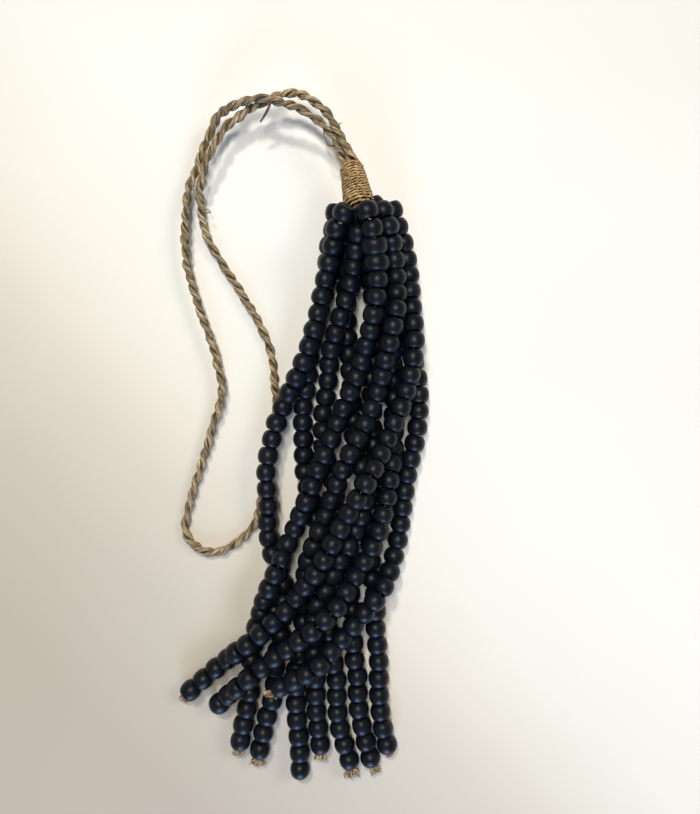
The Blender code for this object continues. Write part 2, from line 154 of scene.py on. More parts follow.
# Routes of the strings, from the head to the free end. Columns: x, y, z.
STRINGS = {
    "left_top": [
        (-3, 108, 35), (-10.5, 88, 28), (-15, 71, 22), (-18.5, 52, 18), (-24, 33, 18), (-31, 15, 16),
        (-40, -1, 12), (-46, -20, 11), (-49, -38, 11), (-48, -58, 11), (-48, -76, 8), (-42, -96, 6),
        (-38, -114, 6), (-35, -131, 6), (-38, -148, 6), (-44, -166, 6), (-49, -183, 6),
        (-53.2, -201.7, 6),
    ],
    "crown_top": [
        (9, 108, 38), (14, 88, 32), (16, 69, 28), (14, 50, 24), (8, 31, 18), (3, 14, 18), (-5, -3, 16),
        (-12, -21, 17), (-20, -39, 16), (-26, -58, 17), (-35, -77, 10), (-42, -93, 17), (-49, -113, 9),
        (-56, -131, 6), (-59, -150, 6), (-59, -168, 6), (-63, -187, 6), (-64.8, -197.6, 6),
    ],
    "crown_right": [
        (17, 111, 26), (24, 91, 18), (26.5, 72, 17), (25, 50, 17), (21, 30, 18), (17, 10, 17),
        (10, -8, 17), (1, -28, 17), (-8, -45, 17), (-14, -64, 14), (-20, -80, 17), (-26, -101, 8),
        (-31, -119, 6), (-32, -147, 6), (-29, -166, 6), (-30, -188, 6), (-29.5, -213.9, 6),
    ],
    "right_over": [
        (24, 113, 14), (30.5, 93, 6), (33, 73, 6), (36, 52, 13), (37, 30, 18), (33, 10, 18),
        (26, -8, 19), (18, -26, 24), (9, -43, 27), (-1, -61, 27), (-11, -78, 24), (-21, -97, 20),
        (-32, -113, 18), (-46, -126, 15), (-59, -137, 18), (-74, -150, 9), (-88, -162, 6),
        (-94.7, -168, 6),
    ],
    "left_under": [
        (-6, 112, 13), (-10.5, 94, 8), (-14, 73, 6), (-18.5, 52, 6), (-24, 33, 6), (-24, 16, 6),
        (-28, -1, 6), (-27, -20, 6), (-27, -40, 6), (-22, -59, 6), (-17, -87, 6), (-15, -106, 6),
        (-13, -130, 6), (-10, -152, 6), (-9, -170, 6), (-6, -190, 6), (-0.3, -208.5, 6),
    ],
    "middle": [
        (4, 98, 29), (3, 83, 24), (-1, 65, 18), (-7, 46, 16), (-12, 27, 12), (-15, 9, 6), (-17, -18, 6),
        (-10, -45, 6), (-7, -64, 6), (-4, -82, 6), (-1, -101, 6), (1, -121, 6), (2, -141, 6),
        (2, -160, 6), (5, -179, 6), (12.4, -207.1, 6),
    ],
    "middle_under": [
        (1.5, 119, 6), (0, 106, 6), (-2, 86, 6), (-2, 68, 6), (-2, 50, 6), (-2, 33, 6), (1, 15, 6),
        (3, -2, 6), (5, -21, 8), (9, -39, 15), (9, -56, 17), (2, -74, 18), (-7, -91, 16), (-15, -108, 17),
        (-22, -129, 7), (-23, -149, 6), (-23, -169, 6), (-19, -191, 6), (-17.6, -199.7, 6),
    ],
    "centre_under": [
        (9, 104, 8), (9.5, 88, 6), (14, 72, 6), (16, 52, 6), (17, 36, 6), (12, 17, 6), (12, -10, 6),
        (13, -37, 6), (14, -58, 6), (12, -82, 6), (15, -112, 6), (15, -130, 6), (17, -150, 6),
        (17, -169, 6), (19, -189, 6), (20.7, -199.7, 6),
    ],
    "right_under": [
        (14.5, 119.8, 6), (18, 103, 6), (21, 88, 6), (25.5, 72, 6), (28, 54, 6), (33, 39, 6),
        (38, 27, 6), (41, 4, 6), (39, -18, 6), (34, -38, 6), (31, -59, 6), (29, -77, 6), (23, -97, 8),
        (14, -112, 17), (2, -126, 17), (-11, -140, 17), (-26, -153, 17), (-42.1, -162.2, 17),
    ],
    "right_middle": [
        (14, 101, 18), (13.5, 86, 18), (14.5, 70, 18), (17, 54, 17), (22, 39, 12), (25, 19, 6),
        (26, -1, 6), (24.5, -20, 6), (22, -40, 6), (19, -62, 7), (14, -79, 16), (5, -94, 17),
        (-7, -112, 17), (-21, -126, 18), (-38, -140, 18), (-51, -150, 17), (-66, -163, 9),
        (-78.7, -176.9, 6),
    ],
}

# Route of the loop's cord between its two ends at the head. Columns: x, y, z.
LOOP = [
    (-6, 149, 16.5), (-12.7, 159.6, 17), (-28, 171, 19), (-41, 174.5, 20), (-53, 177, 19), (-65, 175, 16),
    (-76, 170, 13), (-82, 161, 10), (-87, 151, 8), (-90, 141, 8), (-95, 127, 8), (-97, 105, 8),
    (-96, 82, 7), (-88, 56, 7), (-79, 28, 6), (-76, 9, 6), (-81, -11, 5), (-87, -30, 4), (-95, -55, 3),
    (-98, -70, 2.5), (-96, -79, 2.5), (-87, -86, 2.5), (-74, -85, 2.5), (-61, -75, 2.5), (-54, -62, 2.5),
    (-52, -42, 2.5), (-48, -22, 2.5), (-44, -5, 2.5), (-45, 15, 2.5), (-49, 38, 2.5), (-61, 62, 2.5),
    (-76, 85, 2.5), (-85, 101, 3), (-88.5, 119, 6), (-87, 132, 11), (-82, 146, 14), (-71, 164, 13),
    (-51, 177, 13), (-30, 181, 16), (-14.8, 170, 20), (-9.6, 162.5, 21), (-4.6, 152.4, 21),
    (-0.9, 147, 19.5),
]

# Surface of the loop's cord
CORD_ROOT = 3.5              # length of each end that is held in the whipping
CORD_LEAN = 9.0              # length over which each end leans straight into the whipping
PLY_STEP = 0.6               # between two rings of points
PLY_SIDES = 24
PLY_OFFSET = 1.13            # from the cord's middle to a ply's middle
PLY_RADIUS = 1.57
PLY_FULLNESS = 1.03          # mean radius of a ply, as a share of the radius
PLY_BLADES = 3               # blades of grass on the outside of a ply
BLADE_CREASE = 0.40          # depth of the crease between two blades, as a share of the radius
BLADE_TURN = -0.10           # radians a mm that the blades turn round their ply
PLY_SHIFT = 7.0              # how far the second ply's fibres are moved, to differ from the first's
PLY_GREEN = 0.02             # what the second ply lacks of green
PLY_BLUE = 0.98              # blue of either ply, as a share of its red
# Painted shade of the cord: its colour is darkened in the groove between the plies and in the creases
# between the blades.
PLY_PAINTED_GROOVE_SHADE = (2.9, 1.20, 0.14)     # gain of the tone outwards, what is taken off it, least tone
CREASE_PAINTED_SHADE = 0.42
BLADE_GAIN = 0.50            # how much lighter a blade is than its creases
BLADE_FLANK = 2.0            # how fast the tone rises out of a crease

# How uneven the cord is
CORD_SEED = 11
CORD_LAG = 0.10              # change in the plies' turn, in radians a mm
CORD_STRAY = 0.40            # how far the cord's middle strays
LAG_SPACING = 11.0           # length between two changes
SIDE_SPACING = 7.0
RISE_SPACING = 9.0
# Columns: size as a share, length between two changes.
PLY_SWELLS = [(0.14, 4.0), (0.13, 1.5)]
PLY_LOOSENESS = [(0.05, 6.0)]
PLY_SHADES = [(0.20, 9.0), (0.16, 2.5)]

# Surface of the whipping
TURN_POINTS = 72             # points on each turn
TURN_TILT = 1.7              # how far the upper turns lean
TOP_MARGIN = 2.0             # length of the head above the last turn
END_TURNS = 3.0              # turns that close the lower end
END_DEPTH = 3.2              # how far they bulge
END_HOLE = 0.15              # radius of the innermost turn, as a share of the head's
TWINE_PROUD = 0.10           # how far the twine's middle lies outside the head's radius
TWINE_RADIUS = 0.50
TWINE_OFFSET = 0.33
TWINE_TWIST = 8.5            # length of one turn of its plies
TWINE_SIDES = 10
TWINE_STRANDS = (4, 0.14, 0.5)     # how many in a ply, depth of their creases, radians a mm
TWINE_SHIFT = 5.0            # how far the second ply's fibres are moved
# Painted shade of the twine: it is darker towards the head, in the grooves between the turns.
TWINE_PAINTED_GROOVE_SHADE = (0.30, 0.10)  # tone at the twine's middle, least tone
CORE_RINGS = 12
CORE_SIDES = 32
CORE_INSET = 0.9             # how far the core under the twine lies inside the head's radius
CORE_MARGIN = 1.2            # how far it ends below the last turn
# Painted shade: the core is dark, as it shows only in the shade of the gaps between the turns.
CORE_PAINTED_SHADE = (0.16, 0.13, 0.10)

# How uneven the whipping is. Columns: size, turns between two changes; for the shades, length.
WHIPPING_SEED = 5
TURN_SWELLS = [(0.12, 0.4)]
TURN_WANDER = [(0.10, 0.7)]
TWINE_SHADES = [(0.20, 4.0)]

# Strings
STRING_RADIUS = 0.6
STRING_STEP = 0.8
STRING_SIDES = 8
STRING_STRANDS = (3, 0.2, 1.2)     # how many, depth of their creases, radians a mm
# Painted shade: the string through the beads is darkened, as it lies in the shade between them; the loose
# threads keep its own colour.
STRING_PAINTED_SHADE = (0.28, 0.26, 0.24)
STRING_ROOT = 2.0            # how far below the whipping the strings meet
STRING_TAIL = 0.8            # length past the last bead

# Free ends. Columns: size of the knot's tuft, its turn sideways in degrees.
KNOTS = {
    "left_top": (1.3, 10), "crown_top": (1.05, -5), "crown_right": (0.4, 0), "right_over": (0.85, 20),
    "left_under": (1.45, -10), "middle": (1.2, 15), "middle_under": (1.2, -15), "centre_under": (0.65, 0),
    "right_under": (1.1, 50), "right_middle": (0.5, 0),
}

# A knot's fibres. Their lengths are those in a knot of size one.
KNOT_FIBRES = (14, 20)       # how many in any knot, and how many more at size one
FIBRE_LENGTH = 1.4
FIBRE_EXTRA = 2.8            # length of which a share is added
FIBRE_EXTRA_SHARE = (0.3, 1.0)
ROOT_SPREAD = 0.9            # how far the roots lie apart, sideways and upwards
BELLY_SPREAD = 2.7           # how far the middles lie apart sideways
BELLY_SCATTER = 0.5
BELLY_RISE = 1.5
TIP_SPREAD = 2.3
TIP_SCATTER = 1.0
TIP_DROP = 0.6
FIBRE_THICK = (0.28, 0.55)
FIBRE_TAPER = 0.6            # thickness at the tip, as a share of that at the knot
FIBRE_SIDES = 6
FIBRE_SKIP = 3               # one in so many of a curve's points is used
FIBRE_SHADES = (0.30, 1.0)
FIBRE_SHIFT = 50             # how far a fibre's streaks are moved

# Beads unlike the rest. Columns: width and squareness beside an ordinary bead.
ODD_BEADS = {
    ("crown_top", 2): (1.22, 2.2), ("crown_top", 3): (1.23, 2.0), ("crown_top", 0): (1.06, 1.0),
}

# A bead right under the whipping, between the strings' first ones, made with one string's beads
HIDDEN_BEAD = (3.5, 107.5, 24.0)
HIDDEN_BEAD_STRING = "middle"

# Places where a string shows between two of its beads. Columns: x, y, z.
LOOSE_THREADS = {
    "left_top": [(-5.4, 101.4, 35.6)], "crown_top": [(13.0, 92.8, 38.6), (10.3, 102.3, 41.0)],
}
# Arch of string at such a place. Columns: x, y, z from the place.
THREAD_ARCH = [(-0.7, 0.3, -0.6), (-0.2, 0.1, 0.0), (0.3, -0.2, 0.0), (0.8, -0.3, -0.6)]
THREAD_RADIUS = 0.45
THREAD_SIDES = 7
THREAD_SKIP = 5              # one in so many of a curve's points is used
THREAD_TONE = (1.0, 1.05, 1.1)

# Inputs for colours and output for a colour of the mix node, which has others for other data
MIX_COLOURS = (6, 7)
MIX_RESULT = 2

# Loose ends of grass. Columns of the points: x, y, z. Thick is the radius at the root.
WHISKER_SIDES = 7
WHISKER_TAPER = 0.55         # radius at the tip, as a share of that at the root
WHISKERS = {
    "wedge": {"points": [(-0.6, 136.5, 17.6), (-1.3, 141, 18.2), (-1.7, 144.5, 18.8),
                         (-2.5, 148.5, 19.0)],
              "thick": 1.6, "tone": (1.0, 0.98, 0.95)},
    "twig": {"points": [(-46.2, 176, 20), (-46.4, 172.5, 19), (-49.3, 168.5, 16), (-52.0, 165.5, 14)],
             "thick": 1.0, "tone": (0.50, 0.36, 0.30)},
    "spur": {"points": [(-45.0, 174.5, 20), (-46.6, 172.3, 19), (-47.6, 171.6, 18)],
             "thick": 0.7, "tone": (0.45, 0.33, 0.28)},
    "curl": {"points": [(-8.5, 150.5, 18.5), (-12.2, 150.8, 17), (-14.2, 154.5, 16.5),
                        (-15.3, 158.8, 16)],
             "thick": 0.62, "tone": (0.60, 0.55, 0.50)},
    "stub": {"points": [(-8.4, 160.6, 21.5), (-6.6, 160.9, 22), (-4.8, 161.8, 22)],
             "thick": 0.40, "tone": (0.45, 0.42, 0.38)},
    "fray": {"points": [(-85.0, 116.6, 8), (-82.9, 115.6, 9), (-81.6, 113.6, 9.4)],
             "thick": 0.30, "tone": (0.55, 0.50, 0.45)},
    "fray_upper": {"points": [(-85.0, 114.6, 8), (-82.9, 114.2, 9), (-81.2, 115.0, 9.2)],
                   "thick": 0.25, "tone": (0.55, 0.50, 0.45)},
}


# ---------------------------------------------------------------- layout, as in the part's source

def to_part(points):
    """Move points from the tables' millimetres to the part's frame in metres."""
    shift = np.array([*FOOTPRINT_CENTRE, 0.0])
    return (np.asarray(points, float) - shift) * MM


def unit(vector):
    """The vector at length one."""
    return vector / np.linalg.norm(vector)


def distances(path):
    """How far along a path each of its points lies."""
    return np.concatenate([[0], np.cumsum(np.linalg.norm(np.diff(path, axis=0), axis=1))])


def smooth_curve(rows):
    """Catmull-Rom curve through the rows, as a dense array of points."""
    knots = np.array(rows, float)
    before = 2 * knots[0] - knots[1]
    after = 2 * knots[-1] - knots[-2]
    knots = np.vstack([before, knots, after])
    t = np.linspace(0, 1, CURVE_SAMPLES, endpoint=False)[:, None]
    runs = []
    for a, b, c, d in zip(knots, knots[1:], knots[2:], knots[3:]):
        runs.append(b + 0.5 * t * (c - a + t * (2 * a - 5 * b + 4 * c - d + t * (3 * (b - c) + d - a))))
    runs.append(knots[-2:-1])
    return np.vstack(runs)


def walk(curve, spacing):
    """Points along a dense curve from end to end, evenly spaced as near to a spacing as fits."""
    run = distances(curve)
    stops = np.linspace(0, run[-1], round(run[-1] / spacing) + 1)
    return np.column_stack([np.interp(stops, run, curve[:, axis]) for axis in range(3)])


def head_axis():
    """The whipping's lower end, its direction to the upper end, and its length."""
    bottom = np.array(HEAD_BOTTOM)
    along = np.array(HEAD_TOP) - bottom
    return bottom, unit(along), np.linalg.norm(along)


def head_radius(share):
    """The head's radius at a share of its length from the lower end."""
    return WHIPPING_RADIUS_BOTTOM + share * (WHIPPING_RADIUS_TOP - WHIPPING_RADIUS_BOTTOM)


def loop_curve():
    """Centre line of the hanging loop, out of the head's top, round, and back into it."""
    _, up, _ = head_axis()
    top = np.array(HEAD_TOP) + up * FIT_GAP
    side = unit(np.cross(up, TOWARDS_Z))
    lead = up * LOOP_LEAD
    start = [top - side * LOOP_SPREAD, top - side * LOOP_SPREAD + lead]
    end = [top + side * LOOP_SPREAD + lead, top + side * LOOP_SPREAD]
    return smooth_curve([*start, *LOOP, *end])


def push_apart(points, others, clearance, skip=None):
    """Moves that bring points to a clearance from others, more upwards than sideways."""
    apart = points[:, None, :] - others[None, :, :]
    distance = np.maximum(np.linalg.norm(apart, axis=2), TINY)
    short = np.maximum(clearance - distance, 0)
    if skip is not None:
        short[skip] = 0
    moves = apart / distance[:, :, None] * short[:, :, None]
    return moves.sum(axis=1) * (SIDE_SHARE, SIDE_SHARE, 1)


def lift(points, under, clearance):
    """Heights that points need to lie clear on top of what is under them."""
    apart = points[:, None, :2] - under[None, :, :2]
    rise = np.sqrt(np.maximum(clearance ** 2 - (apart ** 2).sum(axis=2), 0))
    return np.where(rise > 0, under[None, :, 2] + rise, 0).max(axis=1)


def settle(strings, loop):
    """Let the beads sink until they rest on the surface, on the loop and on each other."""
    beads = np.vstack(strings)
    home = beads.copy()
    string_of = np.repeat(np.arange(len(strings)), [len(string) for string in strings])
    count = np.arange(len(beads))
    same_string = string_of[:, None] == string_of[None, :]
    linked = same_string & (abs(count[:, None] - count[None, :]) <= 1)
    links = np.flatnonzero(string_of[:-1] == string_of[1:])
    firsts = np.flatnonzero(np.diff(string_of, prepend=-1))
    pitch = np.linalg.norm(np.diff(beads, axis=0), axis=1)[:, None]
    bottom, up, length = head_axis()
    head = bottom + up * np.linspace(0, length, HEAD_SAMPLES)[:, None]
    for step in range(SETTLE_STEPS):
        fade = 1 - step / SETTLE_STEPS
        beads[:, 2] -= SINK * fade
        beads[:, :2] += HOLD * fade * (home[:, :2] - beads[:, :2])
        beads[firsts] += HEAD_HOLD * fade * (home[firsts] - beads[firsts])
        for parity in (0, 1):
            first = links[links % 2 == parity]
            span = beads[first + 1] - beads[first]
            reach = np.linalg.norm(span, axis=1)[:, None]
            pull = span * (reach - pitch[first]) / reach / 2
            beads[first] += pull
            beads[first + 1] -= pull
        beads += push_apart(beads, beads, BEAD_CLEARANCE, linked) / 2
        beads += push_apart(beads, head, HEAD_CLEARANCE) / 2
        lowest = np.maximum(lift(beads, loop, LOOP_CLEARANCE), BEAD_RADIUS)
        beads[:, 2] = np.maximum(beads[:, 2], lowest)
    return [beads[string_of == index] for index in range(len(strings))]


def bead_centres():
    """The settled centres of the beads, a list of points for each string."""
    starts = [walk(smooth_curve(rows), BEAD_PITCH) for rows in STRINGS.values()]
    loop = walk(loop_curve(), LOOP_STEP)
    return settle(starts, loop)


# ---------------------------------------------------------------- camera, floor and light

def make_camera():
    """A camera straight above, with the picture's upper edge towards +Y."""
    data = bpy.data.cameras.new("camera")
    data.sensor_fit = "HORIZONTAL"
    data.lens = data.sensor_width * CAMERA_HEIGHT / VIEW_WIDTH
    camera = bpy.data.objects.new("camera", data)
    bpy.context.scene.collection.objects.link(camera)
    x, y, _ = to_part((0, 0, 0))
    camera.location = (x, y, CAMERA_HEIGHT)
    bpy.context.scene.camera = camera


def add_light(name, kind, place, colour):
    """A light at a place that faces the middle of the floor; returns its data."""
    data = bpy.data.lights.new(name, kind)
    data.color = colour
    light = bpy.data.objects.new(name, data)
    light.visible_glossy = kind == "AREA"
    light.location = place
    light.rotation_euler = (-Vector(place)).to_track_quat("-Z", "Y").to_euler()
    bpy.context.scene.collection.objects.link(light)
    return data


def make_lights():
    """Soft studio lights."""
    for name, (place, width, length, power, colour) in AREA_LIGHTS.items():
        data = add_light(name, "AREA", place, colour)
        data.shape = "RECTANGLE"
        data.size = width
        data.size_y = length
        data.energy = power
    for name, (place, strength, spread, colour) in SUN_LIGHTS.items():
        data = add_light(name, "SUN", place, colour)
        data.energy = strength
        data.angle = math.radians(spread)


def make_world():
    """Soft light from all round that fades overhead."""
    world = bpy.data.worlds.new("studio")
    bpy.context.scene.world = world
    world.use_nodes = True
    tree = world.node_tree
    background = tree.nodes["Background"]
    background.inputs["Color"].default_value = (*WORLD_COLOUR, 1.0)
    coordinate = tree.nodes.new("ShaderNodeTexCoord")
    split = tree.nodes.new("ShaderNodeSeparateXYZ")
    fade = tree.nodes.new("ShaderNodeMapRange")
    fade.inputs["To Min"].default_value = HORIZON_LIGHT
    fade.inputs["To Max"].default_value = ZENITH_LIGHT
    tree.links.new(coordinate.outputs["Generated"], split.inputs["Vector"])
    tree.links.new(split.outputs["Z"], fade.inputs["Value"])
    tree.links.new(fade.outputs["Result"], background.inputs["Strength"])


def make_stage():
    """The pale floor and the studio lights."""
    bpy.ops.mesh.primitive_plane_add(size=FLOOR_SIZE, location=(0, 0, 0))
    floor = bpy.context.object
    floor.name = "floor"
    floor.data.materials.append(floor_material())
    make_world()
    make_lights()
    bpy.context.scene.view_settings.view_transform = "Standard"


# ---------------------------------------------------------------- materials

class Nodes:
    """Short names for building a material's node tree."""

    def __init__(self, name):
        self.material = bpy.data.materials.new(name)
        self.material.use_nodes = True
        self.tree = self.material.node_tree
        self.shader = self.tree.nodes["Principled BSDF"]

    def node(self, kind, **values):
        """A node, with its properties set."""
        made = self.tree.nodes.new(kind)
        for key, value in values.items():
            setattr(made, key, value)
        return made

    def link(self, source, target):
        """Join an output socket to an input socket."""
        self.tree.links.new(source, target)

    def attribute(self, name):
        """The vector stored at each point of the mesh under a name."""
        return self.node("ShaderNodeAttribute", attribute_name=name).outputs["Vector"]

    def stretched(self, vector, scale):
        """A vector with its three axes scaled."""
        made = self.node("ShaderNodeMapping")
        made.inputs["Scale"].default_value = scale
        self.link(vector, made.inputs["Vector"])
        return made.outputs["Vector"]

    def noise(self, vector, scale, detail=3.0, roughness=0.5):
        """Fractal noise over a vector."""
        made = self.node("ShaderNodeTexNoise")
        made.inputs["Scale"].default_value = scale
        made.inputs["Detail"].default_value = detail
        made.inputs["Roughness"].default_value = roughness
        self.link(vector, made.inputs["Vector"])
        return made.outputs["Fac"]

    def ramp(self, value, stops):
        """A value turned into a colour. Columns of stops: place from 0 to 1, colour."""
        made = self.node("ShaderNodeValToRGB")
        band = made.color_ramp
        while len(band.elements) < len(stops):
            band.elements.new(0.5)
        for element, (place, colour) in zip(band.elements, stops):
            element.position = place
            element.color = (*colour, 1.0)
        self.link(value, made.inputs["Fac"])
        return made.outputs["Color"]

    def span(self, value, low, high, to_low, to_high):
        """A value carried from one range to another."""
        made = self.node("ShaderNodeMapRange")
        made.inputs["From Min"].default_value = low
        made.inputs["From Max"].default_value = high
        made.inputs["To Min"].default_value = to_low
        made.inputs["To Max"].default_value = to_high
        self.link(value, made.inputs["Value"])
        return made.outputs["Result"]

    def blend(self, kind, share, first, second):
        """Two colours mixed; share is a socket or a number, a colour is a socket or a tuple."""
        made = self.node("ShaderNodeMix", data_type="RGBA", blend_type=kind)
        if isinstance(share, (int, float)):
            made.inputs["Factor"].default_value = share
        else:
            self.link(share, made.inputs["Factor"])
        for index, colour in zip(MIX_COLOURS, (first, second)):
            if isinstance(colour, tuple):
                made.inputs[index].default_value = (*colour, 1.0)
            else:
                self.link(colour, made.inputs[index])
        return made.outputs[MIX_RESULT]

    def bump(self, height, strength, distance):
        """Small relief from a height."""
        made = self.node("ShaderNodeBump")
        made.inputs["Strength"].default_value = strength
        made.inputs["Distance"].default_value = distance
        self.link(height, made.inputs["Height"])
        self.link(made.outputs["Normal"], self.shader.inputs["Normal"])


def floor_material():
    """Smooth off-white board, with painted shade that darkens it towards its near left corner, where the
    light falls off.
    """
    m = Nodes("floor_board_painted_falloff")
    place = m.node("ShaderNodeNewGeometry").outputs["Position"]
    reach = m.node("ShaderNodeVectorMath", operation="DOT_PRODUCT")
    reach.inputs[1].default_value = FLOOR_ACROSS
    m.link(place, reach.inputs[0])
    # Painted shade: the colour falls off along x + y towards the near left corner, standing in for dimmer
    # light there.
    shade = m.ramp(m.span(reach.outputs["Value"], *FLOOR_SPAN, 0.0, 1.0), FLOOR_PAINTED_FALLOFF)
    clouds = m.ramp(m.noise(place, 5.0, 2.0), FLOOR_CLOUDS)
    m.link(m.blend("MULTIPLY", 1.0, shade, clouds), m.shader.inputs["Base Color"])
    m.shader.inputs["Roughness"].default_value = 0.6
    return m.material


def bead_material():
    """Matt black paint on turned wood with a faint grain, worn and dusty in places."""
    m = Nodes("black_wood_finish")
    turned = m.attribute("turned")
    tone = m.attribute("tone")
    grain = m.noise(m.stretched(turned, (0.35, 1.6, 1.6)), 1.4, 6.0, 0.62)
    black = m.ramp(m.noise(turned, 0.22, 3.0), PAINT_BLACKS)
    worn = m.blend("MIX", m.span(grain, 0.62, 0.80, 0.0, 0.5), black, PAINT_WORN)
    dust = m.span(m.noise(turned, 2.4, 2.0), 0.745, 0.775, 0.0, 0.35)
    dusty = m.blend("MIX", dust, m.blend("MULTIPLY", 0.6, worn, tone), PAINT_DUST)
    m.link(dusty, m.shader.inputs["Base Color"])
    m.link(m.span(grain, 0.3, 0.75, 0.34, 0.50), m.shader.inputs["Roughness"])
    m.shader.inputs["Specular IOR Level"].default_value = 0.33
    m.bump(grain, 0.22, 0.0002)
    return m.material


def fibre_material(name, dark, middle, light, streak):
    """Grass, twine or string: long streaks of lighter and darker fibre along each strand."""
    m = Nodes(name)
    laid = m.attribute("laid")
    tone = m.attribute("tone")
    fibre = m.noise(m.stretched(laid, (streak, 1.0, 1.0)), 1.5, 5.0, 0.6)
    patch = m.noise(m.stretched(laid, (0.25, 0.3, 0.3)), 0.7, 2.0)
    colour = m.ramp(fibre, list(zip(FIBRE_STOPS, (dark, middle, light))))
    aged = m.blend("MULTIPLY", 0.55, colour, m.ramp(patch, FIBRE_PATCHES))
    # The tone brings random shade and, on the cord, whipping, core and strings, painted shade in grooves,
    # gaps and between beads.
    m.link(m.blend("MULTIPLY", 0.9, aged, tone), m.shader.inputs["Base Color"])
    m.link(m.span(fibre, 0.3, 0.7, 0.62, 0.45), m.shader.inputs["Roughness"])
    m.shader.inputs["Specular IOR Level"].default_value = 0.35
    m.bump(fibre, 0.55, 0.0003)
    return m.material


# ---------------------------------------------------------------- mesh helpers

class Builder:
    """Collects points, in the tables' millimetres, and faces for one joined mesh."""

    def __init__(self):
        self.points = []
        self.faces = []
        self.values = {"laid": [], "turned": [], "tone": []}
        self.count = 0

    def add(self, points, faces, **values):
        """Add points, faces between them, and a vector or a list of vectors for each attribute."""
        points = np.asarray(points, float)
        self.points.append(points)
        self.faces += [tuple(int(corner) + self.count for corner in face) for face in faces]
        for key in self.values:
            given = values.get(key, (1.0, 1.0, 1.0))
            self.values[key].append(np.broadcast_to(np.asarray(given, float), points.shape))
        self.count += len(points)

    def build(self, name, finish, keys):
        """The finished object, shaded smooth, with the vectors that are named in keys."""
        mesh = bpy.data.meshes.new(name)
        mesh.from_pydata(to_part(np.vstack(self.points)), [], self.faces)
        for key in keys:
            layer = mesh.attributes.new(key, "FLOAT_VECTOR", "POINT")
            layer.data.foreach_set("vector", np.vstack(self.values[key]).astype(np.float32).ravel())
        mesh.materials.append(finish)
        mesh.shade_smooth()
        made = bpy.data.objects.new(name, mesh)
        bpy.context.scene.collection.objects.link(made)
        return made


def grid_faces(rings, sides, closed_ends=True):
    """Faces of a tube of rings, with one over each end if they are closed."""
    faces = []
    for ring in range(rings - 1):
        for side in range(sides):
            after = (side + 1) % sides
            faces.append((ring * sides + side, ring * sides + after,
                          (ring + 1) * sides + after, (ring + 1) * sides + side))
    if closed_ends:
        faces.append(tuple(range(sides - 1, -1, -1)))
        faces.append(tuple((rings - 1) * sides + side for side in range(sides)))
    return faces


def directions(path):
    """The path's direction at each of its points."""
    along = np.gradient(path, axis=0)
    return along / np.linalg.norm(along, axis=1)[:, None]


def frames(path, towards=None):
    """Directions out and across at each point of a path; out leans to a given direction or to +Z."""
    along = directions(path)
    if towards is None:
        towards = np.broadcast_to(TOWARDS_Z, path.shape)
    out = towards - (towards * along).sum(axis=1)[:, None] * along
    size = np.linalg.norm(out, axis=1)[:, None]
    out = np.where(size > TINY, out / np.maximum(size, TINY), (1.0, 0.0, 0.0))
    return out, np.cross(along, out)


def around(angle, first, second):
    """Directions at angles from a first direction towards a second."""
    return np.cos(angle)[:, None] * first + np.sin(angle)[:, None] * second


def tube(path, radius, sides, towards=None, lobes=0, depth=0.0, lobe_turn=0.0):
    """Points of a tube and its unrolled coordinates; lobes are creases along it that turn round it."""
    out, across = frames(path, towards)
    run = distances(path)
    angle = 2 * math.pi * np.arange(sides) / sides
    own = angle[None, :] + lobe_turn * run[:, None]
    size = np.broadcast_to(np.asarray(radius, float).reshape(-1, 1), own.shape).copy()
    if lobes:
        size *= 1 - depth + depth * abs(np.cos(own * lobes / 2)) ** 0.5
    offset = np.cos(angle)[None, :, None] * out[:, None, :]
    offset = offset + np.sin(angle)[None, :, None] * across[:, None, :]
    points = path[:, None, :] + size[:, :, None] * offset
    along = np.broadcast_to(run[:, None], own.shape)
    laid = np.stack([along, size * np.cos(own), size * np.sin(own)], axis=2)
    return points.reshape(-1, 3), laid.reshape(-1, 3)


def smooth_noise(places, spacing, rng):
    """Smooth random numbers from -1 to 1 along a line of places, a new one every spacing."""
    count = int(np.max(places) / spacing) + 3
    return np.interp(places, np.arange(count) * spacing, rng.uniform(-1, 1, count))


def uneven(mean, changes, places, rng):
    """A mean with smooth noise added along a line of places. Columns of changes: size, spacing."""
    for size, spacing in changes:
        mean = mean + size * smooth_noise(places, spacing, rng)
    return mean


# ---------------------------------------------------------------- hanging loop

def loop_path():
    """Centre line of the loop's cord, with its ends leaning into the whipping and held there."""
    curve = loop_curve()
    _, up, _ = head_axis()
    run = distances(curve)
    free = curve[(run > CORD_LEAN) & (run < run[-1] - CORD_LEAN)]
    start = [curve[0] - up * CORD_ROOT, curve[0]]
    end = [curve[-1], curve[-1] - up * CORD_ROOT]
    return walk(np.vstack([start, free, end]), PLY_STEP)


def distance_from(path, points, sides):
    """How far the points of a tube with so many sides are from a path along it."""
    return np.linalg.norm(points - np.repeat(path, sides, axis=0), axis=1)


def ply_painted_shade(points, path, centre, radius):
    """Painted shade at the points of a ply: darker in the groove between the plies and in the creases
    between the blades.
    """
    height = distance_from(path, points, PLY_SIDES) / (PLY_OFFSET + PLY_RADIUS)
    rim = distance_from(centre, points, PLY_SIDES)
    rise = (rim / np.repeat(radius, PLY_SIDES) - 1 + BLADE_CREASE) / BLADE_CREASE
    edge = CREASE_PAINTED_SHADE + BLADE_GAIN * np.clip(BLADE_FLANK * rise, 0, 1)
    gain, taken, least = PLY_PAINTED_GROOVE_SHADE
    return np.clip(gain * height - taken, least, 1) * edge


